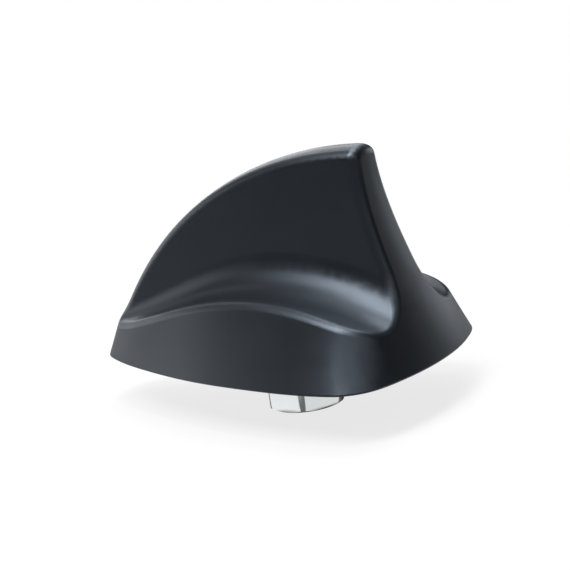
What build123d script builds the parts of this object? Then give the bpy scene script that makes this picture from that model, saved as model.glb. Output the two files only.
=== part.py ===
from build123d import *
from math import asin, atan2, cos, degrees, radians, sin, sqrt, tan
import os

# Roof aerial in the shape of a short fin, in millimetres.
# +X points to the nose, +Y to the left, +Z up. The origin is where the axis of the
# threaded stem meets the outside of the roof, which is the underside of the gasket.

# Plan of the cover at its lower edge
LENGTH = 116.4
WIDTH = 71.6
NOSE_REACH = 69.2
NOSE_RADIUS = 10.4
SIDE_RADIUS = 190.0
CORNER_RADIUS = 14.0
REAR_RADIUS = 77.0
EDGE_GAP = 0.3
PLAN_STEPS = 4

# Skirt, shoulders and trailing face of the cover
HEIGHT = 61.2
NOSE_DRAFT = 29.0
SIDE_DRAFT = 26.0
SHOULDER_Z = 20.0
SHOULDER_LEAN = 6.7
WAIST_Z = 40.0
WAIST_LEAN = 13.2
WAIST_HALF = 20.0
TOP_LEAN = 14.2
TOP_HALF = 17.0
TOP_CORNER_RADIUS = 7.0
TOP_REAR_RADIUS = 30.0

# Ridge of the fin: a straight leading edge that runs into one long arc
RIDGE_SLOPE = 53.6
RIDGE_RADIUS = 103.5
CREST_BACK = 95.2
CROWN_SPAN = 20.0
CROWN_DROP = 20.0

# Scoop in each flank, and the fin that it leaves
PEAK_BACK = 69.2
PEAK_Z = 22.5
TAIL_Z = 9.5
HUMP_SLOPE = 14.0
HUMP_FRONT_RADIUS = 112.0
SCOOP_RADIUS = 11.5
SCOOP_NOSE_RADIUS = 3.0
SCOOP_GROWTH = 80.0
SCOOP_STATIONS = 8
FIN_REAR_HALF = 9.4
FIN_NOSE_HALF = 3.0
FIN_LEAN = 4.3
EDGE_ROUND = 3.0
LIP_ROUND = 0.4

# Moulding
WALL = 2.4
FIT = 0.3

# Base: gasket, chassis plate and seal
GASKET_THICK = 2.0
GASKET_LIP = 3.0
GASKET_GROOVE = 2.5
GROOVE_DEPTH = 0.6
PLATE_THICK = 3.0
SEAL_HIGH = 1.6

# Threaded stem and what is on it
STEM_D = 14.0
STEM_BORE = 9.0
STEM_CHAMFER = 1.0
STEM_SHORT = 0.4
STEM_FIT = 0.05
STEM_FLANGE_D = 18.0
STEM_FLANGE_HIGH = 1.0
THREAD_FIT = 0.15
ROOF_GAP = 2.2
WASHER_D = 20.5
WASHER_THICK = 1.4
WASHER_TEETH = 12
TOOTH_GAP = 2.0
TOOTH_DEPTH = 1.8
NUT_FLATS = 21.0
NUT_HIGH = 10.4
NUT_TURN = 54.7
NUT_EDGE_ROUND = 2.2
NUT_CHAMFER = 30.0
GROMMET_LONG = 8.0
GROMMET_LIP = 0.1
LEAD_D = 3.0
LEAD_SPACING = 4.2

# Screws that hold the cover
BOSS_D = 7.0
COVER_SCREW_D = 2.9
COVER_SCREW_LONG = 9.5
COVER_SCREW_HEAD_D = 5.6
SCREW_FIT = 0.1
REAR_SCREW_BACK = 17.2
REAR_SCREW_Y = 21.0
FRONT_SCREW_BACK = 33.2
FRONT_SCREW_Y = 9.0

# Main board and the screws that hold it
BOARD_RISE = 3.0
BOARD_THICK = 1.2
BOARD_TAIL_GAP = 9.2
BOARD_NOSE_GAP = 39.2
BOARD_WIDTH = 30.0
BOARD_CORNER = 2.5
BOARD_BOSS_D = 6.0
BOARD_SCREW_D = 2.4
BOARD_SCREW_LONG = 6.0
BOARD_SCREW_HEAD_D = 4.5
BOARD_SCREW_HEAD_HIGH = 1.5
BOARD_SCREW_INSET = 4.5

# Radiator in the fin
FIN_BOARD_THICK = 1.0
FIN_BOARD_BACK = 12.0
FIN_BOARD_CLEAR = 2.0
TAB_WIDE = 5.0
TAB_INSET = 3.0
TAB_TAIL = 0.8
HAT_THICK = 0.5
HAT_HALF = 2.2
HAT_LEG = 6.0

# Parts on the main board
HEADROOM = 1.2
PATCH_SIZE = 18.0
PATCH_THICK = 4.0
PATCH_GAP = 2.0
PAD_THICK = 0.5
PIN_D = 0.9
PIN_HEAD_D = 2.0
PIN_HEAD_HIGH = 0.3
PIN_TAIL = 1.0
CAN_LONG = 18.0
CAN_WIDE = 9.5
CAN_HIGH = 4.0
CAN_WALL = 0.4
CAN_BACK = 10.0
CAN_Y = 8.5
CHIP_SIZE = 5.0
CHIP_HIGH = 1.0
CHIP_OFFSET = 4.5
FILTER_LONG = 4.0
FILTER_WIDE = 3.0
FILTER_HIGH = 1.2
CHOKE_D = 8.0
CHOKE_HIGH = 5.0
CHOKE_FLANGE = 0.8
CHOKE_CORE_D = 4.0
CHOKE_WIRE_D = 7.0
CHOKE_BACK = 10.0
CHOKE_Y = -8.5
DROP_LONG = 1.6
DROP_WIDE = 0.8
DROP_HIGH = 0.6
DROP_PITCH = 3.0
DROP_COUNT = 4
DROP_GAP = 2.0
SOCKET_SIZE = 3.0
SOCKET_HIGH = 0.6
SOCKET_BARREL_D = 2.2
SOCKET_BARREL_LONG = 1.0
SOCKET_Y = -5.0

# Places that follow from the sizes above
NOSE_X = NOSE_REACH
REAR_X = NOSE_REACH - LENGTH
CREST_X = NOSE_X - CREST_BACK
PEAK_X = NOSE_X - PEAK_BACK
HUMP_FALL = PEAK_Z - TAIL_Z
HUMP_REAR_RADIUS = ((PEAK_X - REAR_X) ** 2 + HUMP_FALL ** 2) / (2 * HUMP_FALL)
PLATE_TOP = GASKET_THICK + PLATE_THICK
BOARD_Z = PLATE_TOP + BOARD_RISE
BOARD_TOP = BOARD_Z + BOARD_THICK
WASHER_TOP = -ROOF_GAP
NUT_TOP = WASHER_TOP - WASHER_THICK
NUT_BOTTOM = NUT_TOP - NUT_HIGH
STEM_END = NUT_BOTTOM + STEM_SHORT
BEYOND = 12.0
TOUCHING = 0.01
REAR_SCREW_X = REAR_X + REAR_SCREW_BACK
FRONT_SCREW_X = NOSE_X - FRONT_SCREW_BACK
COVER_SCREWS = [(x, side * y) for side in (-1, 1)
                for x, y in ((REAR_SCREW_X, REAR_SCREW_Y), (FRONT_SCREW_X, FRONT_SCREW_Y))]
BOARD_REAR_X = REAR_X + BOARD_TAIL_GAP
BOARD_FRONT_X = NOSE_X - BOARD_NOSE_GAP
BOARD_SCREW_Y = BOARD_WIDTH / 2 - BOARD_SCREW_INSET
BOARD_SCREWS = [(x, side * BOARD_SCREW_Y) for side in (-1, 1)
                for x in (BOARD_FRONT_X - BOARD_SCREW_INSET, BOARD_REAR_X + BOARD_SCREW_INSET)]
PATCH_X = BOARD_FRONT_X - BOARD_SCREW_INSET - BOARD_SCREW_HEAD_D / 2 - FIT - PATCH_SIZE / 2
PATCH_TOP = BOARD_TOP + PAD_THICK + PATCH_THICK
FIN_BOARD_REAR_X = BOARD_REAR_X + FIN_BOARD_BACK
FIN_BOARD_FRONT_X = PATCH_X - PATCH_SIZE / 2 - PATCH_GAP
TAB_END = TAB_INSET + TAB_WIDE / 2
TABS = (FIN_BOARD_REAR_X + TAB_END, FIN_BOARD_FRONT_X - TAB_END)
LEADS = [(side * LEAD_SPACING / 2, 0) for side in (-1, 1)]
SOCKETS = [(x, SOCKET_Y) for x, y in LEADS]

os.makedirs("parts", exist_ok=True)


def blend(low, high, share):
    """A value part of the way from low to high."""
    return low + (high - low) * share


def plan_arcs(nose_x, rear_x, half, nose_r, side_r, corner_r, rear_r):
    """The left half of the plan, from nose to rear, as arcs that run into each other.

    Each arc is its centre, its radius, and the angles where it starts and ends.
    """
    nose = Vector(nose_x - nose_r, 0)
    rear = Vector(rear_x + rear_r, 0)
    corner_y = half - corner_r
    corner = Vector(rear.X - sqrt((rear_r - corner_r) ** 2 - corner_y ** 2), corner_y)
    # the flank's arc touches the nose and the corner from outside both
    chord = nose - corner
    along = chord.normalized()
    from_corner = side_r - corner_r
    from_nose = side_r - nose_r
    foot = (from_corner ** 2 - from_nose ** 2 + chord.length ** 2) / (2 * chord.length)
    inward = Vector(along.Y, -along.X)
    flank = corner + along * foot + inward * sqrt(from_corner ** 2 - foot ** 2)
    nose_turn = degrees(atan2(nose.Y - flank.Y, nose.X - flank.X))
    flank_turn = degrees(atan2(corner.Y - flank.Y, corner.X - flank.X))
    corner_turn = degrees(atan2(corner.Y - rear.Y, corner.X - rear.X))
    return (
        (nose, nose_r, 0, nose_turn),
        (flank, side_r, nose_turn, flank_turn),
        (corner, corner_r, flank_turn, corner_turn),
        (rear, rear_r, corner_turn, 180),
    )


def plan_face(inset):
    """The cover's plan at its lower edge, drawn in by inset."""
    arcs = plan_arcs(NOSE_X - inset, REAR_X + inset, WIDTH / 2 - inset, NOSE_RADIUS - inset,
                     SIDE_RADIUS - inset, CORNER_RADIUS - inset, REAR_RADIUS - inset)
    with BuildSketch() as face:
        with BuildLine():
            for centre, radius, start, end in arcs:
                CenterArc(centre, radius, start, end - start)
                CenterArc((centre.X, -centre.Y), radius, -start, start - end)
        make_face()
    return face.sketch


def smooth_plan(arcs):
    """Points round the whole plan, from the nose, for one smooth closed curve over its arcs."""
    left = []
    for centre, radius, start, end in arcs:
        for i in range(PLAN_STEPS):
            turn = radians(blend(start, end, i / PLAN_STEPS))
            left.append(centre + Vector(cos(turn), sin(turn)) * radius)
    centre, radius, start, end = arcs[-1]
    right = [Vector(point.X, -point.Y) for point in reversed(left[1:])]
    return left + [Vector(centre.X - radius, 0)] + right


def skirt_form(skin):
    """The outside of the cover before the ridge and the scoops are cut, drawn in by skin."""
    top = HEIGHT + BEYOND
    shoulder_half = WIDTH / 2 - (SHOULDER_Z - EDGE_GAP) * tan(radians(SIDE_DRAFT))
    levels = (
        (EDGE_GAP, 0.0, WIDTH / 2),
        (SHOULDER_Z, SHOULDER_LEAN, shoulder_half),
        (WAIST_Z, WAIST_LEAN, WAIST_HALF),
        (top, TOP_LEAN, TOP_HALF),
    )
    with BuildPart() as form:
        for z, lean, half in levels:
            share = (z - EDGE_GAP) / (top - EDGE_GAP)
            nose_x = NOSE_X - (z - EDGE_GAP) * tan(radians(NOSE_DRAFT))
            corner_r = blend(CORNER_RADIUS, TOP_CORNER_RADIUS, share)
            rear_r = blend(REAR_RADIUS, TOP_REAR_RADIUS, share)
            arcs = plan_arcs(nose_x - skin, REAR_X + lean + skin, half - skin, NOSE_RADIUS - skin,
                             SIDE_RADIUS - skin, corner_r - skin, rear_r - skin)
            with BuildSketch(Plane.XY.offset(z)):
                with BuildLine():
                    Spline(*smooth_plan(arcs), periodic=True)
                make_face()
        loft()
    return form.part


def ridge_form(skin):
    """Everything above the crowned ridge of the fin, with the ridge drawn in by skin."""
    slope = radians(RIDGE_SLOPE)
    radius = RIDGE_RADIUS - skin
    top = HEIGHT + BEYOND + CROWN_DROP
    low = -CROWN_DROP - RIDGE_RADIUS
    back = REAR_X - BEYOND
    with BuildPart() as form:
        for y in (-CROWN_SPAN, 0, CROWN_SPAN):
            drop = CROWN_DROP if y else 0
            centre = Vector(CREST_X, HEIGHT - RIDGE_RADIUS - drop)
            turn = asin((CREST_X - back) / radius)
            brow = centre + Vector(sin(slope), cos(slope)) * radius
            toe = Vector(brow.X + (brow.Y - low) / tan(slope), low)
            front = toe.X + CROWN_DROP + BEYOND
            with BuildSketch(Plane.XZ.offset(-y)):
                with BuildLine():
                    Polyline(toe, (front, low), (front, top), (back, top),
                             (back, centre.Y + radius * cos(turn)))
                    CenterArc(centre, radius, 90 + degrees(turn), -RIDGE_SLOPE - degrees(turn))
                    Line(brow, toe)
                make_face()
        loft()
    return form.part


def scoop_floor(x):
    """Height of the scoop's floor: a straight rise from the nose, then a hump that falls to the rear."""
    ahead = x - PEAK_X
    if ahead < 0:
        return PEAK_Z - HUMP_REAR_RADIUS + sqrt(HUMP_REAR_RADIUS ** 2 - ahead ** 2)
    slope = radians(HUMP_SLOPE)
    turn = HUMP_FRONT_RADIUS * sin(slope)
    if ahead < turn:
        return PEAK_Z - HUMP_FRONT_RADIUS + sqrt(HUMP_FRONT_RADIUS ** 2 - ahead ** 2)
    return PEAK_Z - HUMP_FRONT_RADIUS * (1 - cos(slope)) - (ahead - turn) * tan(slope)


def fin_half(x):
    """Half of the fin's thickness at the scoop's floor."""
    return blend(FIN_REAR_HALF, FIN_NOSE_HALF, ((x - REAR_X) / LENGTH) ** 2)


def scoop_form():
    """The hollow on the left of the fin: floor, concave sweep and leaning wall."""
    lean = radians(FIN_LEAN)
    top = HEIGHT + BEYOND
    front = NOSE_X + BEYOND / 4
    step = (front - REAR_X + BEYOND / 2) / (SCOOP_STATIONS - 1)
    with BuildPart() as form:
        for i in range(SCOOP_STATIONS):
            x = front - i * step
            floor = scoop_floor(x)
            growth = sin(radians(90) * max(0, min(1, (NOSE_X - x) / SCOOP_GROWTH)))
            radius = blend(SCOOP_NOSE_RADIUS, SCOOP_RADIUS, growth)
            middle_z = floor + radius
            wall_y = fin_half(x) - radius * tan(lean)
            middle_y = wall_y + radius / cos(lean)
            touch = Vector(middle_y - radius * cos(lean), middle_z - radius * sin(lean))
            crest_y = touch.X - (top - touch.Y) * tan(lean)
            with BuildSketch(Plane(origin=(x, 0, 0), x_dir=(0, 1, 0), z_dir=(1, 0, 0))):
                with BuildLine():
                    Line((WIDTH, floor), (middle_y, floor))
                    CenterArc((middle_y, middle_z), radius, 270, FIN_LEAN - 90)
                    Polyline(touch, (crest_y, top), (WIDTH, top), (WIDTH, floor))
                make_face()
        loft()
    return form.part


def rear_limit(z):
    """How far back the room under the scoop's floor still clears a top at height z."""
    drop = PEAK_Z - WALL - HEADROOM - z
    return PEAK_X - sqrt(drop * (2 * HUMP_REAR_RADIUS - drop))


def inset_at(z):
    """How far an upright edge at height z stands in from the plan to clear the inside of the skirt."""
    return WALL + FIT + (z - EDGE_GAP) * tan(radians(max(NOSE_DRAFT, SIDE_DRAFT)))


def finish(piece, name):
    piece.part.label = name
    export_step(piece.part, f"parts/{name}.step")


# Cover: one moulding, hollow, with a boss for each screw
skirt = skirt_form(0)
ridge = ridge_form(0)
scoop = scoop_form()
far_scoop = mirror(scoop, about=Plane.XZ)

with BuildPart() as cover_core:
    # room under the floors of the scoops
    straight_x = PEAK_X + HUMP_FRONT_RADIUS * sin(radians(HUMP_SLOPE))
    roof = [(x, scoop_floor(x) - WALL) for x in (NOSE_X, straight_x, PEAK_X, (PEAK_X + REAR_X) / 2, REAR_X)]
    with BuildSketch(Plane.XZ):
        with BuildLine():
            Polyline(*roof, (REAR_X, EDGE_GAP - FIT), (NOSE_X, EDGE_GAP - FIT), close=True)
        make_face()
    extrude(amount=WIDTH, both=True)
    # room in the fin, between its leaning walls
    for z in (PLATE_TOP, HEIGHT):
        narrowing = (z - PEAK_Z) * tan(radians(FIN_LEAN))
        halves = [(x, fin_half(x) - WALL - narrowing) for x in (REAR_X, (REAR_X + NOSE_X) / 2)]
        far_halves = [(x, -y) for x, y in reversed(halves)]
        with BuildSketch(Plane.XY.offset(z)):
            with BuildLine():
                Polyline(*halves, (NOSE_X, FIT), (NOSE_X, -FIT), *far_halves, close=True)
            make_face()
    loft(ruled=True)
    add(skirt_form(WALL), mode=Mode.INTERSECT)
    add(ridge_form(WALL), mode=Mode.SUBTRACT)
    with BuildSketch(Plane.XY.offset(PLATE_TOP)):
        with Locations(*COVER_SCREWS):
            Circle(BOSS_D / 2)
    extrude(amount=HEIGHT, mode=Mode.SUBTRACT)

with BuildPart() as fin_cover:
    add(skirt)
    add(ridge, mode=Mode.SUBTRACT)
    outside = fin_cover.faces()
    add(scoop, mode=Mode.SUBTRACT)
    add(far_scoop, mode=Mode.SUBTRACT)

    def on_outside(edge):
        return min(face.distance_to(edge.position_at(0.5)) for face in outside) < TOUCHING

    raised = [e for e in fin_cover.edges() if e.bounding_box().min.Z > EDGE_GAP + FIT and on_outside(e)]
    rims = [e for e in raised if abs(e.position_at(0.5).Y) > FIT]
    crossing = [e for e in raised if abs(e.position_at(0.5).Y) <= FIT]
    tail = ShapeList(crossing).sort_by(Axis.X)[0]
    fillet(rims + [tail], radius=EDGE_ROUND)
    fillet(fin_cover.faces().sort_by(Axis.Z)[0].edges(), radius=LIP_ROUND)
    add(cover_core.part, mode=Mode.SUBTRACT)
    with BuildSketch(Plane.XY.offset(PLATE_TOP)):
        with Locations(*COVER_SCREWS):
            Circle(COVER_SCREW_D / 2 + SCREW_FIT)
    extrude(amount=COVER_SCREW_LONG - PLATE_THICK + 2 * FIT, mode=Mode.SUBTRACT)
finish(fin_cover, "fin_cover")

# Gasket that lies on the roof
with BuildPart() as base_gasket:
    with BuildSketch():
        add(plan_face(inset_at(GASKET_THICK)))
        Circle(STEM_D / 2 + FIT, mode=Mode.SUBTRACT)
    extrude(amount=GASKET_THICK)
    with BuildSketch():
        add(plan_face(inset_at(GASKET_THICK) + GASKET_LIP))
        add(plan_face(inset_at(GASKET_THICK) + GASKET_LIP + GASKET_GROOVE), mode=Mode.SUBTRACT)
    extrude(amount=GROOVE_DEPTH, mode=Mode.SUBTRACT)
finish(base_gasket, "base_gasket")

# Chassis: a cast plate with the board's bosses above and a hole for the stem
with BuildPart() as base_chassis:
    with BuildSketch(Plane.XY.offset(GASKET_THICK)):
        add(plan_face(inset_at(PLATE_TOP)))
        Circle(STEM_D / 2 + STEM_FIT, mode=Mode.SUBTRACT)
    extrude(amount=PLATE_THICK)
    with BuildSketch(Plane.XY.offset(PLATE_TOP)):
        with Locations(*BOARD_SCREWS):
            Circle(BOARD_BOSS_D / 2)
    extrude(amount=BOARD_RISE)
    with BuildSketch(Plane.XY.offset(PLATE_TOP + BOARD_RISE)):
        with Locations(*BOARD_SCREWS):
            Circle(BOARD_SCREW_D / 2 + SCREW_FIT)
    extrude(amount=-(BOARD_SCREW_LONG - BOARD_THICK + FIT), mode=Mode.SUBTRACT)
    for x, y in COVER_SCREWS:
        with Locations(Location((x, y, GASKET_THICK), (180, 0, 0))):
            CounterSinkHole(COVER_SCREW_D / 2 + SCREW_FIT, COVER_SCREW_HEAD_D / 2 + SCREW_FIT, PLATE_THICK)
finish(base_chassis, "base_chassis")

# Hollow threaded stem, with a flange that rests on the plate
with BuildPart() as threaded_stem:
    with BuildSketch(Plane.XY.offset(STEM_END)):
        Circle(STEM_D / 2)
    extrude(amount=PLATE_TOP - STEM_END)
    chamfer(threaded_stem.faces().sort_by(Axis.Z)[0].edges(), length=STEM_CHAMFER)
    with BuildSketch(Plane.XY.offset(PLATE_TOP)):
        Circle(STEM_FLANGE_D / 2)
    extrude(amount=STEM_FLANGE_HIGH)
    with BuildSketch(Plane.XY.offset(STEM_END)):
        Circle(STEM_BORE / 2)
    extrude(amount=PLATE_TOP + STEM_FLANGE_HIGH - STEM_END, mode=Mode.SUBTRACT)
finish(threaded_stem, "threaded_stem")

# Seal between the plate's edge and the inside of the skirt
with BuildPart() as cover_seal:
    with BuildSketch(Plane.XY.offset(GASKET_THICK)):
        add(plan_face(inset_at(GASKET_THICK + SEAL_HIGH)))
        add(plan_face(inset_at(PLATE_TOP)), mode=Mode.SUBTRACT)
    extrude(amount=SEAL_HIGH)
finish(cover_seal, "cover_seal")

# Toothed washer that bites the underside of the roof
with BuildPart() as contact_washer:
    with BuildSketch(Plane.XY.offset(NUT_TOP)):
        Circle(WASHER_D / 2)
        Circle(STEM_D / 2 + FIT, mode=Mode.SUBTRACT)
        with PolarLocations(WASHER_D / 2, WASHER_TEETH):
            Rectangle(2 * TOOTH_DEPTH, TOOTH_GAP, mode=Mode.SUBTRACT)
    extrude(amount=WASHER_THICK)
finish(contact_washer, "contact_washer")

# Hexagon nut, with its corners turned down at both ends
with BuildPart() as hex_nut:
    with BuildSketch(Plane.XY.offset(NUT_BOTTOM)):
        RegularPolygon(NUT_FLATS / 2, 6, major_radius=False, rotation=NUT_TURN)
    extrude(amount=NUT_HIGH)
    fillet(hex_nut.edges().filter_by(Axis.Z), radius=NUT_EDGE_ROUND)
    corner_reach = NUT_FLATS / sqrt(3)
    turned_drop = (corner_reach - NUT_FLATS / 2) * tan(radians(NUT_CHAMFER))
    with BuildSketch(Plane.XZ) as turned_profile:
        with BuildLine():
            Polyline((0, NUT_BOTTOM), (NUT_FLATS / 2, NUT_BOTTOM),
                     (corner_reach, NUT_BOTTOM + turned_drop), (corner_reach, NUT_TOP - turned_drop),
                     (NUT_FLATS / 2, NUT_TOP), (0, NUT_TOP), close=True)
        make_face()
    revolve(axis=Axis.Z, mode=Mode.INTERSECT)
    with BuildSketch(Plane.XY.offset(NUT_BOTTOM)):
        Circle(STEM_D / 2 + THREAD_FIT)
    extrude(amount=NUT_HIGH, mode=Mode.SUBTRACT)
finish(hex_nut, "hex_nut")

# Rubber grommet in the stem, with a hole for each lead
with BuildPart() as cable_grommet:
    with BuildSketch(Plane.XY.offset(STEM_END)):
        Circle(STEM_BORE / 2 - GROMMET_LIP)
        with Locations(*LEADS):
            Circle(LEAD_D / 2, mode=Mode.SUBTRACT)
    extrude(amount=GROMMET_LONG)
finish(cable_grommet, "cable_grommet")

# Countersunk screws that hold the cover, put in from below
with BuildPart() as cover_screws:
    for x, y in COVER_SCREWS:
        with BuildSketch(Plane.XZ.offset(-y)):
            with BuildLine():
                slope_z = GASKET_THICK + COVER_SCREW_HEAD_D / 2 - COVER_SCREW_D / 2
                Polyline((x, GASKET_THICK), (x + COVER_SCREW_HEAD_D / 2, GASKET_THICK),
                         (x + COVER_SCREW_D / 2, slope_z),
                         (x + COVER_SCREW_D / 2, GASKET_THICK + COVER_SCREW_LONG),
                         (x, GASKET_THICK + COVER_SCREW_LONG), close=True)
            make_face()
        revolve(axis=Axis((x, y, 0), (0, 0, 1)))
finish(cover_screws, "cover_screws")

# Main board, with slots for the tabs of the radiator board
with BuildPart() as main_board:
    with BuildSketch(Plane.XY.offset(BOARD_Z)):
        with Locations(((BOARD_FRONT_X + BOARD_REAR_X) / 2, 0)):
            RectangleRounded(BOARD_FRONT_X - BOARD_REAR_X, BOARD_WIDTH, BOARD_CORNER)
        with Locations(*BOARD_SCREWS):
            Circle(BOARD_SCREW_D / 2 + SCREW_FIT, mode=Mode.SUBTRACT)
        with Locations(*[(x, 0) for x in TABS]):
            Rectangle(TAB_WIDE + 2 * SCREW_FIT, FIN_BOARD_THICK + 2 * SCREW_FIT, mode=Mode.SUBTRACT)
        with Locations((PATCH_X, 0)):
            Circle(PIN_D / 2 + SCREW_FIT, mode=Mode.SUBTRACT)
    extrude(amount=BOARD_THICK)
finish(main_board, "main_board")

with BuildPart() as board_screws:
    with BuildSketch(Plane.XY.offset(BOARD_TOP)):
        with Locations(*BOARD_SCREWS):
            Circle(BOARD_SCREW_HEAD_D / 2)
    extrude(amount=BOARD_SCREW_HEAD_HIGH)
    chamfer(board_screws.faces().filter_by(Axis.Z).group_by(Axis.Z)[-1].edges(), BOARD_SCREW_HEAD_HIGH / 2)
    with BuildSketch(Plane.XY.offset(BOARD_TOP)):
        with Locations(*BOARD_SCREWS):
            Circle(BOARD_SCREW_D / 2)
    extrude(amount=-BOARD_SCREW_LONG)
finish(board_screws, "board_screws")

# Radiator board, upright in the fin, with its top edge alongside the ridge
ridge_centre = Vector(CREST_X, HEIGHT - RIDGE_RADIUS)
fin_board_radius = RIDGE_RADIUS - WALL - FIN_BOARD_CLEAR


def arc_z(x, radius):
    """Height of the arc about the ridge's centre with this radius."""
    return ridge_centre.Y + sqrt(radius ** 2 - (x - ridge_centre.X) ** 2)


def band_face(low_edge, radius):
    """The side view of a piece with an arc alongside the ridge on top, and low_edge(x) below."""
    rear_x, front_x = FIN_BOARD_REAR_X, FIN_BOARD_FRONT_X
    middle_x = (rear_x + front_x) / 2
    with BuildSketch() as face:
        with BuildLine():
            ThreePointArc((rear_x, arc_z(rear_x, radius)), (middle_x, arc_z(middle_x, radius)),
                          (front_x, arc_z(front_x, radius)))
            Line((front_x, arc_z(front_x, radius)), (front_x, low_edge(front_x)))
            if low_edge(rear_x) == low_edge(front_x):
                Line((front_x, low_edge(front_x)), (rear_x, low_edge(rear_x)))
            else:
                ThreePointArc((front_x, low_edge(front_x)), (middle_x, low_edge(middle_x)),
                              (rear_x, low_edge(rear_x)))
            Line((rear_x, low_edge(rear_x)), (rear_x, arc_z(rear_x, radius)))
        make_face()
    return face.sketch


with BuildPart() as fin_board:
    with BuildSketch(Plane.XZ):
        add(band_face(lambda x: BOARD_TOP, fin_board_radius))
        with Locations(*[(x, BOARD_TOP) for x in TABS]):
            Rectangle(TAB_WIDE, BOARD_THICK + TAB_TAIL, align=(Align.CENTER, Align.MAX))
    extrude(amount=FIN_BOARD_THICK / 2, both=True)
finish(fin_board, "fin_board")

# Sheet metal hat that straddles the top edge of the radiator board
with BuildPart() as radiator_hat:
    with BuildSketch(Plane.XZ):
        add(band_face(lambda x: arc_z(x, fin_board_radius), fin_board_radius + HAT_THICK))
    extrude(amount=HAT_HALF, both=True)
    for side in (-1, 1):
        with BuildSketch(Plane.XZ.offset(side * FIN_BOARD_THICK / 2)):
            add(band_face(lambda x: arc_z(x, fin_board_radius - HAT_LEG), fin_board_radius + HAT_THICK / 2))
        extrude(amount=side * HAT_THICK)
finish(radiator_hat, "radiator_hat")

# Satellite patch: ceramic block on a pad, with its feed pin
with BuildPart() as gps_pad:
    with BuildSketch(Plane.XY.offset(BOARD_TOP)):
        with Locations((PATCH_X, 0)):
            Rectangle(PATCH_SIZE, PATCH_SIZE)
            Circle(PIN_D / 2 + SCREW_FIT, mode=Mode.SUBTRACT)
    extrude(amount=PAD_THICK)
finish(gps_pad, "gps_pad")

with BuildPart() as gps_patch:
    with BuildSketch(Plane.XY.offset(BOARD_TOP + PAD_THICK)):
        with Locations((PATCH_X, 0)):
            Rectangle(PATCH_SIZE, PATCH_SIZE)
            Circle(PIN_D / 2 + SCREW_FIT, mode=Mode.SUBTRACT)
    extrude(amount=PATCH_THICK)
finish(gps_patch, "gps_patch")

with BuildPart() as gps_pin:
    with Locations((PATCH_X, 0, PATCH_TOP)):
        Cylinder(PIN_HEAD_D / 2, PIN_HEAD_HIGH, align=(Align.CENTER, Align.CENTER, Align.MIN))
        Cylinder(PIN_D / 2, PATCH_TOP - BOARD_Z + PIN_TAIL, align=(Align.CENTER, Align.CENTER, Align.MAX))
finish(gps_pin, "gps_pin")

# Amplifier under its tin can
CAN_X = max(BOARD_REAR_X + CAN_BACK, rear_limit(BOARD_TOP + CAN_HIGH)) + CAN_LONG / 2

with BuildPart() as shield_can:
    with BuildSketch(Plane.XY.offset(BOARD_TOP)):
        with Locations((CAN_X, CAN_Y)):
            Rectangle(CAN_LONG, CAN_WIDE)
    extrude(amount=CAN_HIGH)
    offset(amount=-CAN_WALL, openings=shield_can.faces().sort_by(Axis.Z)[0], kind=Kind.INTERSECTION)
finish(shield_can, "shield_can")

with BuildPart() as amplifier_chip:
    with BuildSketch(Plane.XY.offset(BOARD_TOP)):
        with Locations((CAN_X - CHIP_OFFSET, CAN_Y)):
            Rectangle(CHIP_SIZE, CHIP_SIZE)
    extrude(amount=CHIP_HIGH)
finish(amplifier_chip, "amplifier_chip")

with BuildPart() as filter_block:
    with BuildSketch(Plane.XY.offset(BOARD_TOP)):
        with Locations((CAN_X + CHIP_OFFSET, CAN_Y)):
            Rectangle(FILTER_LONG, FILTER_WIDE)
    extrude(amount=FILTER_HIGH)
finish(filter_block, "filter_block")

# Wire-wound choke on a drum core
CHOKE_X = max(BOARD_REAR_X + CHOKE_BACK, rear_limit(BOARD_TOP + CHOKE_HIGH)) + CHOKE_D / 2

with BuildPart() as choke_core:
    with BuildSketch(Plane.XZ.offset(-CHOKE_Y)):
        with BuildLine():
            rim = CHOKE_X + CHOKE_D / 2
            waist = CHOKE_X + CHOKE_CORE_D / 2
            drum_top = BOARD_TOP + CHOKE_HIGH
            Polyline((CHOKE_X, BOARD_TOP), (rim, BOARD_TOP), (rim, BOARD_TOP + CHOKE_FLANGE),
                     (waist, BOARD_TOP + CHOKE_FLANGE), (waist, drum_top - CHOKE_FLANGE),
                     (rim, drum_top - CHOKE_FLANGE), (rim, drum_top), (CHOKE_X, drum_top), close=True)
        make_face()
    revolve(axis=Axis((CHOKE_X, CHOKE_Y, 0), (0, 0, 1)))
finish(choke_core, "choke_core")

with BuildPart() as choke_winding:
    with BuildSketch(Plane.XY.offset(BOARD_TOP + CHOKE_FLANGE)):
        with Locations((CHOKE_X, CHOKE_Y)):
            Circle(CHOKE_WIRE_D / 2)
            Circle(CHOKE_CORE_D / 2, mode=Mode.SUBTRACT)
    extrude(amount=CHOKE_HIGH - 2 * CHOKE_FLANGE)
finish(choke_winding, "choke_winding")

# Rows of small chip capacitors ahead of the choke
DROP_X = CHOKE_X + CHOKE_D / 2 + DROP_GAP + ((DROP_COUNT - 1) * DROP_PITCH + DROP_LONG) / 2

with BuildPart() as board_chips:
    with BuildSketch(Plane.XY.offset(BOARD_TOP)):
        with Locations((DROP_X, CHOKE_Y)):
            with GridLocations(DROP_PITCH, DROP_PITCH, DROP_COUNT, 2):
                Rectangle(DROP_LONG, DROP_WIDE)
    extrude(amount=DROP_HIGH)
finish(board_chips, "board_chips")

# Sockets for the leads, under the board and over the stem
with BuildPart() as lead_sockets:
    with BuildSketch(Plane.XY.offset(BOARD_Z)):
        with Locations(*SOCKETS):
            Rectangle(SOCKET_SIZE, SOCKET_SIZE)
    extrude(amount=-SOCKET_HIGH)
    with BuildSketch(Plane.XY.offset(BOARD_Z - SOCKET_HIGH)):
        with Locations(*SOCKETS):
            Circle(SOCKET_BARREL_D / 2)
    extrude(amount=-SOCKET_BARREL_LONG)
finish(lead_sockets, "lead_sockets")
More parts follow.
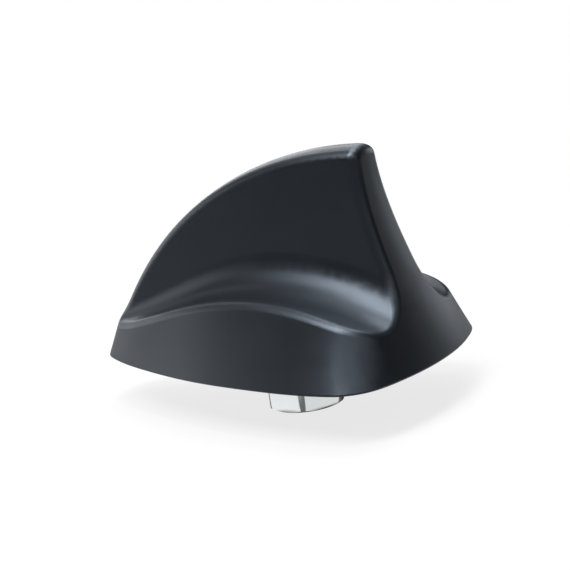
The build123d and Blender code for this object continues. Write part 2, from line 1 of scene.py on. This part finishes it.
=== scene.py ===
from math import cos, pi, radians, sin

import bpy
from mathutils import Matrix, Vector


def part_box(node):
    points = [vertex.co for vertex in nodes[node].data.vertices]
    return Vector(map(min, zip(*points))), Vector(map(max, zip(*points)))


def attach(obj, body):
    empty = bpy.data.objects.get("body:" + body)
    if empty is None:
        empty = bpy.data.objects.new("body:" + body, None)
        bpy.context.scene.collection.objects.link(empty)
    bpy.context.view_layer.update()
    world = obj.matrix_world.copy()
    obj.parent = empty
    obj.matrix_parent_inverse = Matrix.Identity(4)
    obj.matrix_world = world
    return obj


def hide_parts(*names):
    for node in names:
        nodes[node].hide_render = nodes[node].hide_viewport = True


MM = 0.001

# Stem: an M14 x 1.5 thread on a tube with a flange
STEM_RADIUS = 7.0 * MM
STEM_BORE = 4.5 * MM
STEM_CHAMFER = 1.0 * MM
STEM_FLANGE = 1.0 * MM
THREAD_PITCH = 1.5 * MM
THREAD_DEPTH = 0.92 * MM
THREAD_ROWS = 12
THREAD_SIDES = 96
THREAD_SHARP = radians(25)

# Skirt's wall: how far its normals lean up, and how they are evened
WALL_LEAN = 0.46
WALL_SPREAD = 0.13
WALL_STEPS = 8
INNER_POINT = 1.99  # faces per edge, on average, at a point that isn't on the border of a patch

# Floor: its greys (a darker one painted for all rays but the camera's, as painted shade), how white the
# camera sees it near and far, and where it is mirrored in the nut with painted reflection and painted shade
FLOOR_SIZE = 6.0
FLOOR_GAP = 0.1 * MM
PAPER_SEEN = (0.85, 0.85, 0.85, 1)
# painted shade: all rays but the camera's see the floor in this darker grey, so it throws less bounce light
# on the aerial and shows darker in its reflections
PAPER_DIMMED_OFF_CAMERA = (0.30, 0.30, 0.30, 1)
WHITE_NEAR = 0.78
WHITE_START = 80 * MM
WHITE_END = 340 * MM
MIRROR_START = 70 * MM
MIRROR_END = 120 * MM
# painted shade: right under the nut the floor's reflected white drops to this share, which the nut mirrors
# as a dark line along its bottom
SHADE_SHARE = 0.1
SHADE_START = 10.5 * MM
SHADE_END = 13.5 * MM

# Painted reflection: bright and dark strips painted on the floor for reflection rays only, which the nut
# mirrors, by degrees about its corner next to the camera
NUT_CORNER = Vector((cos(radians(114.7)), sin(radians(114.7)), 0)) * 12.0 * MM
STRIPS_TURN = radians(105)
PAINTED_REFLECTION_STRIPS = (
    (-150, 0.85), (-142, 0.10),
    (-110, 0.10), (-103, 1.00),
    (-58, 1.00), (-48, 0.16),
    (47, 0.16), (58, 0.85),
    (113, 0.85), (122, 0.10),
    (150, 0.10), (157, 0.85),
)

# Lamps stand this far from a point in the middle of the aerial
LAMP_DISTANCE = 0.8
LAMP_AIM = Vector((0, 0, 20)) * MM

# Camera, fitted to the photo
AZIMUTH = radians(34.477)
ELEVATION = radians(12.829)
ROLL = radians(-8.668)
DISTANCE = 0.464
TARGET = Vector((2.09, 0, 21.22)) * MM
LENS = 101.58
SENSOR = 36
CLIP_START = 0.01

NOISE_ROUGHNESS = 0.55

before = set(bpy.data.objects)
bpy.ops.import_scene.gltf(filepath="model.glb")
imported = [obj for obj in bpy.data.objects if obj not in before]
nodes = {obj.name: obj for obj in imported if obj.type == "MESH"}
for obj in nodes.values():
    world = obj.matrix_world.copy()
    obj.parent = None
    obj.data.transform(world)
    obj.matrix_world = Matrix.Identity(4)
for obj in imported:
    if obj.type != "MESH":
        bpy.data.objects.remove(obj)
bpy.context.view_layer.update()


# Node trees

class Graph:
    """A node tree that is built by short calls."""

    def __init__(self, tree):
        self.tree = tree

    def node(self, kind, inputs=None, **settings):
        """Add a node. Its settings come first, because they decide which sockets it has."""
        made = self.tree.nodes.new(kind)
        for key, value in settings.items():
            setattr(made, key, value)
        for key, value in (inputs or {}).items():
            self.feed(made.inputs[key], value)
        return made

    def feed(self, socket, value):
        """Link another node's output to a socket, or set a plain value on it."""
        if isinstance(value, bpy.types.NodeSocket):
            self.tree.links.new(value, socket)
        else:
            socket.default_value = value

    def math(self, operation, *values):
        made = self.node("ShaderNodeMath", dict(enumerate(values)), operation=operation)
        return made.outputs["Value"]


class Shader(Graph):
    """A material's node tree, with the textures that the materials share."""

    def __init__(self, name):
        self.material = bpy.data.materials.new(name)
        self.material.use_nodes = True
        super().__init__(self.material.node_tree)
        self.bsdf = self.tree.nodes["Principled BSDF"]
        self.position = self.node("ShaderNodeTexCoord").outputs["Object"]

    def noise(self, scale, detail, stretch=None):
        source = self.position
        if stretch:
            source = self.node("ShaderNodeMapping", {"Vector": source, "Scale": stretch}).outputs["Vector"]
        made = self.node("ShaderNodeTexNoise", {
            "Vector": source, "Scale": scale, "Detail": detail, "Roughness": NOISE_ROUGHNESS})
        return made.outputs["Fac"]

    def between(self, factor, low, high, start=0.35, end=0.65):
        """Map a factor that goes from start to end to plain values from low to high."""
        made = self.node("ShaderNodeMapRange", {
            "Value": factor, "From Min": start, "From Max": end, "To Min": low, "To Max": high})
        return made.outputs["Result"]

    def ramp(self, factor, *stops):
        """Colours at two or more places from 0 to 1."""
        made = self.node("ShaderNodeValToRGB", {"Fac": factor})
        elements = made.color_ramp.elements
        for element, (place, colour) in zip(elements, (stops[0], stops[-1])):
            element.position = place
            element.color = (*colour, 1)
        for place, colour in stops[1:-1]:
            elements.new(place).color = (*colour, 1)
        return made.outputs["Color"]

    def mottle(self, factor, low, high):
        """A colour that drifts between two close ones."""
        return self.ramp(factor, (0.3, low), (0.7, high))

    def bump(self, height, distance, strength):
        made = self.node("ShaderNodeBump", {"Height": height, "Distance": distance, "Strength": strength})
        self.feed(self.bsdf.inputs["Normal"], made.outputs["Normal"])

    def set(self, **values):
        for key, value in values.items():
            self.feed(self.bsdf.inputs[key.replace("_", " ")], value)


# Materials

def cover_plastic():
    s = Shader("cover_plastic")
    grain = s.noise(2600, 2.0)
    cloud = s.noise(55, 3.0)
    s.set(Base_Color=s.mottle(cloud, (0.0046, 0.0055, 0.0072), (0.0056, 0.0067, 0.0088)),
          Roughness=s.between(cloud, 0.385, 0.415), IOR=1.6, Specular_IOR_Level=0.85,
          Specular_Tint=(0.71, 0.84, 1.0, 1))
    s.bump(grain, 0.03 * MM, 0.25)
    return s.material


def rubber():
    s = Shader("rubber")
    grain = s.noise(900, 4.0)
    cloud = s.noise(60, 3.0)
    s.set(Base_Color=s.mottle(cloud, (0.016, 0.016, 0.017), (0.026, 0.026, 0.027)),
          Roughness=s.between(grain, 0.68, 0.86))
    s.bump(grain, 0.06 * MM, 0.5)
    return s.material


def metal(name, low, high, rough_low, rough_high, stretch=None, scale=700, bump=0.02 * MM):
    s = Shader(name)
    grain = s.noise(scale, 4.0, stretch)
    cloud = s.noise(90, 3.0)
    s.set(Base_Color=s.mottle(cloud, low, high), Metallic=1.0,
          Roughness=s.between(grain, rough_low, rough_high))
    s.bump(grain, bump, 0.4)
    return s.material


def circuit_board(name):
    s = Shader(name)
    bricks = s.node("ShaderNodeTexBrick", {
        "Vector": s.position, "Scale": 260, "Mortar Size": 0.016,
        "Color1": (0.010, 0.075, 0.034, 1), "Color2": (0.013, 0.090, 0.041, 1),
        "Mortar": (0.035, 0.170, 0.070, 1)})
    grain = s.noise(500, 3.0)
    s.set(Base_Color=bricks.outputs["Color"], Roughness=s.between(grain, 0.32, 0.48))
    s.bump(bricks.outputs["Fac"], 0.03 * MM, 0.4)
    return s.material


def moulded(name, low, high, rough_low, rough_high):
    s = Shader(name)
    grain = s.noise(400, 4.0)
    cloud = s.noise(80, 3.0)
    s.set(Base_Color=s.mottle(cloud, low, high), Roughness=s.between(grain, rough_low, rough_high))
    s.bump(grain, 0.02 * MM, 0.5)
    return s.material


def wound_wire(pitch):
    s = Shader("wound_wire")
    height = s.node("ShaderNodeSeparateXYZ", {"Vector": s.position}).outputs["Z"]
    turns = s.math("PINGPONG", s.math("MULTIPLY", height, 1 / pitch), 0.5)
    cloud = s.noise(500, 3.0)
    s.set(Base_Color=s.mottle(cloud, (0.42, 0.13, 0.045), (0.56, 0.20, 0.075)), Metallic=1.0,
          Roughness=s.between(cloud, 0.22, 0.36))
    s.bump(turns, 0.3 * MM, 0.8)
    return s.material


def floor_paper():
    """Paper that the camera sees pale near the aerial, pure white further out, and clear from below. Other
    rays see it painted darker, as painted shade, and the nut mirrors painted strips and painted shade on it.
    """
    s = Shader("floor_paper")
    path = s.node("ShaderNodeLightPath").outputs
    reach = s.node("ShaderNodeVectorMath", {0: s.position}, operation="LENGTH").outputs["Value"]
    # painted shade: the camera sees the pale paper, every other ray a darker painted grey
    paper = s.node("ShaderNodeMix", {
        "Factor": path["Is Camera Ray"], "A": PAPER_DIMMED_OFF_CAMERA, "B": PAPER_SEEN}, data_type="RGBA")
    s.set(Base_Color=paper.outputs["Result"], Roughness=1.0, Specular_IOR_Level=0.0)
    seen = s.math("MULTIPLY", path["Is Camera Ray"],
                  s.between(reach, WHITE_NEAR, 1.0, WHITE_START, WHITE_END))

    # painted reflection: to reflection rays the floor shows white paper with painted darker strips, which
    # the nut mirrors; this white fades out further away, and right under the nut it fades as painted shade
    corner = s.node("ShaderNodeMapping", {
        "Vector": s.position, "Location": NUT_CORNER, "Rotation": (0, 0, STRIPS_TURN)},
        vector_type="TEXTURE")
    around = s.node("ShaderNodeSeparateXYZ", {"Vector": corner.outputs["Vector"]}).outputs
    turn = s.between(s.math("ARCTAN2", around["Y"], around["X"]), 0, 1, -pi, pi)
    # painted reflection: the bright and dark strips that the nut's faces mirror
    painted_strips = s.ramp(turn, *[((degrees + 180) / 360, (grey,) * 3) for degrees, grey in PAINTED_REFLECTION_STRIPS])
    near = s.between(reach, 1.0, 0.0, MIRROR_START, MIRROR_END)
    # painted shade: the reflected white darkens right under the nut
    shaded = s.between(reach, SHADE_SHARE, 1.0, SHADE_START, SHADE_END)
    painted_reflection = s.math("MULTIPLY", s.math("MULTIPLY", near, shaded), painted_strips)
    # painted reflection: only glossy rays see the painted white and its strips
    painted_reflection_share = s.math("MULTIPLY", path["Is Glossy Ray"], painted_reflection)

    share = s.math("ADD", s.math("ADD", seen, painted_reflection_share), path["Is Transmission Ray"])
    lit = s.node("ShaderNodeMixShader", {
        "Fac": share, 1: s.bsdf.outputs["BSDF"], 2: s.node("ShaderNodeEmission").outputs["Emission"]})
    below = s.math("MULTIPLY", s.node("ShaderNodeNewGeometry").outputs["Backfacing"], path["Is Camera Ray"])
    sided = s.node("ShaderNodeMixShader", {
        "Fac": below, 1: lit.outputs["Shader"], 2: s.node("ShaderNodeBsdfTransparent").outputs["BSDF"]})
    s.feed(s.tree.nodes["Material Output"].inputs["Surface"], sided.outputs["Shader"])
    return s.material


rolled = (0.1, 1, 1)
looks = {
    "fin_cover": cover_plastic(),
    "base_gasket": rubber(),
    "base_chassis": metal("die_casting", (0.50, 0.51, 0.52), (0.62, 0.63, 0.64), 0.36, 0.56,
                          scale=420, bump=0.05 * MM),
    "threaded_stem": metal("stem_steel", (0.52, 0.53, 0.54), (0.64, 0.65, 0.66), 0.28, 0.42),
    "contact_washer": metal("washer_steel", (0.52, 0.52, 0.47), (0.66, 0.65, 0.58), 0.28, 0.42),
    "hex_nut": metal("zinc_steel", (0.74, 0.78, 0.775), (0.80, 0.84, 0.835), 0.10, 0.16, bump=0.006 * MM),
    "cover_screws": metal("screw_steel", (0.50, 0.50, 0.51), (0.62, 0.62, 0.63), 0.24, 0.38),
    "main_board": circuit_board("main_board_mask"),
    "fin_board": circuit_board("fin_board_mask"),
    "radiator_hat": metal("radiator_sheet", (0.60, 0.43, 0.19), (0.72, 0.54, 0.27), 0.24, 0.40, rolled),
    "gps_pad": moulded("foam_pad", (0.62, 0.62, 0.60), (0.72, 0.72, 0.70), 0.7, 0.9),
    "gps_patch": moulded("patch_ceramic", (0.50, 0.42, 0.31), (0.60, 0.51, 0.38), 0.45, 0.65),
    "gps_pin": metal("plated_contact", (0.70, 0.50, 0.17), (0.80, 0.60, 0.25), 0.18, 0.32),
    "shield_can": metal("tinned_sheet", (0.60, 0.61, 0.62), (0.70, 0.71, 0.72), 0.26, 0.42, rolled),
    "amplifier_chip": moulded("chip_resin", (0.012, 0.012, 0.013), (0.022, 0.022, 0.023), 0.4, 0.6),
    "filter_block": moulded("filter_lid", (0.45, 0.44, 0.40), (0.58, 0.56, 0.52), 0.35, 0.5),
    "choke_core": moulded("ferrite", (0.020, 0.020, 0.022), (0.040, 0.040, 0.042), 0.5, 0.75),
    "choke_winding": wound_wire(0.34 * MM),
    "board_chips": moulded("chip_ceramic", (0.30, 0.22, 0.14), (0.42, 0.32, 0.22), 0.4, 0.6),
}
looks["cover_seal"] = looks["base_gasket"]
looks["cable_grommet"] = looks["base_gasket"]
looks["board_screws"] = looks["cover_screws"]
looks["lead_sockets"] = looks["gps_pin"]

for name, material in looks.items():
    mesh = nodes[name].data
    mesh.materials.clear()
    mesh.materials.append(material)


# Stem with a modelled thread, which stands for the plain one

def thread_radius(angle, z, end):
    """Radius of the thread, which fades out above the roof and into the chamfer at the stem's end."""
    cut = (1 - cos(2 * pi * z / THREAD_PITCH - angle)) / 2
    fade = min(1, max(0, 1 - z / THREAD_PITCH))
    chamfer = STEM_RADIUS - max(0, STEM_CHAMFER - (z - end))
    return min(STEM_RADIUS - THREAD_DEPTH * cut * fade, chamfer)


def threaded_tube(name, low, high):
    """Rings from the stem's end up its outside, round the flange and down the bore, joined by faces."""
    flange_low = high.z - STEM_FLANGE
    flange_radius = (high.x - low.x) / 2
    rows = round((flange_low - low.z) / (THREAD_PITCH / THREAD_ROWS))
    heights = [low.z + (flange_low - low.z) * i / rows for i in range(rows + 1)]
    angles = [2 * pi * i / THREAD_SIDES for i in range(THREAD_SIDES)]
    rings = [[(thread_radius(angle, z, low.z), z) for angle in angles] for z in heights]
    for corner in ((flange_radius, flange_low), (flange_radius, high.z), (STEM_BORE, high.z),
                   (STEM_BORE, low.z)):
        rings.append([corner] * THREAD_SIDES)
    points = [(radius * cos(angle), radius * sin(angle), z)
              for ring in rings for angle, (radius, z) in zip(angles, ring)]
    faces = []
    for i in range(len(rings)):
        this = i * THREAD_SIDES
        above = (i + 1) % len(rings) * THREAD_SIDES
        for j in range(THREAD_SIDES):
            after = (j + 1) % THREAD_SIDES
            faces.append((this + j, this + after, above + after, above + j))
    tube = bpy.data.meshes.new(name)
    tube.from_pydata(points, [], faces)
    tube.shade_smooth()
    tube.set_sharp_from_angle(angle=THREAD_SHARP)
    made = bpy.data.objects.new(name, tube)
    bpy.context.scene.collection.objects.link(made)
    return made


stem = threaded_tube("stem_with_thread", *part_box("threaded_stem"))
stem.data.materials.append(looks["threaded_stem"])
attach(stem, "root")
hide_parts("threaded_stem")


# Skirt's shading

def even_normals(piece):
    """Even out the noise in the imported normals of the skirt's wall, inside its patches. No point moves."""
    g = Graph(bpy.data.node_groups.new("even_normals", "GeometryNodeTree"))
    for way in ("INPUT", "OUTPUT"):
        g.tree.interface.new_socket("Geometry", in_out=way, socket_type="NodeSocketGeometry")
    start = g.node("NodeGroupInput").outputs["Geometry"]
    normal = g.node("GeometryNodeInputNormal").outputs["Normal"]
    lean = g.node("ShaderNodeSeparateXYZ", {"Vector": normal}).outputs["Z"]
    on_wall = g.math("COMPARE", lean, WALL_LEAN, WALL_SPREAD)
    count = g.node("GeometryNodeInputMeshEdgeNeighbors").outputs["Face Count"]
    faces = g.node("GeometryNodeFieldOnDomain", {"Value": count}, data_type="FLOAT", domain="EDGE")
    inside = g.math("GREATER_THAN", faces.outputs["Value"], INNER_POINT)
    even = g.node("GeometryNodeBlurAttribute", {
        "Value": normal, "Iterations": WALL_STEPS, "Weight": g.math("MULTIPLY", on_wall, inside)},
        data_type="FLOAT_VECTOR")
    placed = g.node("GeometryNodeSetMeshNormal", mode="FREE", domain="POINT")
    g.feed(placed.inputs["Mesh"], start)
    g.feed(placed.inputs["Custom Normal"], even.outputs["Value"])
    g.node("NodeGroupOutput", {"Geometry": placed.outputs["Mesh"]})
    piece.modifiers.new("even_normals", "NODES").node_group = g.tree


even_normals(nodes["fin_cover"])


# Stage: a white floor just under the nut, softboxes all round and a white backdrop

floor_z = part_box("hex_nut")[0].z - FLOOR_GAP
bpy.ops.mesh.primitive_plane_add(size=FLOOR_SIZE, location=(0, 0, floor_z))
floor = bpy.context.object
floor.name = "floor"
floor.data.materials.append(floor_paper())


def softbox(name, azimuth, elevation, wide, high, power):
    """A soft lamp that looks at the aerial, by degrees round from its nose and up from the roof."""
    around = radians(azimuth)
    above = radians(elevation)
    way = Vector((cos(above) * cos(around), cos(above) * sin(around), sin(above)))
    lamp = bpy.data.lights.new(name, "AREA")
    lamp.shape = "RECTANGLE"
    lamp.size = wide
    lamp.size_y = high
    lamp.energy = power
    made = bpy.data.objects.new(name, lamp)
    bpy.context.scene.collection.objects.link(made)
    made.location = LAMP_AIM + way * LAMP_DISTANCE
    made.rotation_euler = (-way).to_track_quat("-Z", "Y").to_euler()
    made.visible_camera = False


softbox("key_top", 115, 76, 0.26, 0.26, 2.60)
softbox("key_side", 81, 57, 0.36, 0.30, 3.25)
softbox("back_top", 272, 69, 0.46, 0.36, 2.30)
softbox("far_right", 318, 12, 0.40, 0.36, 1.00)
softbox("rear", 254, 8, 0.28, 0.26, 0.54)
softbox("far_back", 284, 42, 0.44, 0.40, 0.66)
softbox("rear_corner", 300, 30, 0.40, 0.30, 0.80)
softbox("nose", 351, 8, 0.36, 0.36, 0.62)
softbox("front", 17, 14, 0.36, 0.36, 0.46)
softbox("front_right", 332, 40, 0.40, 0.36, 0.40)
softbox("front_left", 46, 53, 0.40, 0.36, 0.34)
softbox("camera_side", 132, 44, 0.36, 0.36, 0.53)
softbox("rear_left", 162, 30, 0.36, 0.36, 0.25)

world = bpy.data.worlds.new("studio")
world.use_nodes = True
bpy.context.scene.world = world
sky = Graph(world.node_tree)
backdrop = sky.tree.nodes["Background"]
sky.feed(backdrop.inputs["Color"], (1, 1, 1, 1))
sky.feed(backdrop.inputs["Strength"], sky.node("ShaderNodeLightPath").outputs["Is Camera Ray"])


# Camera

back = Vector((-sin(AZIMUTH) * cos(ELEVATION), cos(AZIMUTH) * cos(ELEVATION), sin(ELEVATION)))
right = (-back).cross(Vector((0, 0, 1))).normalized()
up = right.cross(-back)
turned_right = right * cos(ROLL) + up * sin(ROLL)
turned_up = up * cos(ROLL) - right * sin(ROLL)
turn = Matrix((turned_right, turned_up, back)).transposed()
lens = bpy.data.cameras.new("camera")
lens.lens = LENS
lens.sensor_width = SENSOR
lens.clip_start = CLIP_START
camera = bpy.data.objects.new("camera", lens)
bpy.context.scene.collection.objects.link(camera)
camera.matrix_world = Matrix.Translation(TARGET + back * DISTANCE) @ turn.to_4x4()
bpy.context.scene.camera = camera
bpy.context.scene.view_settings.view_transform = "Standard"
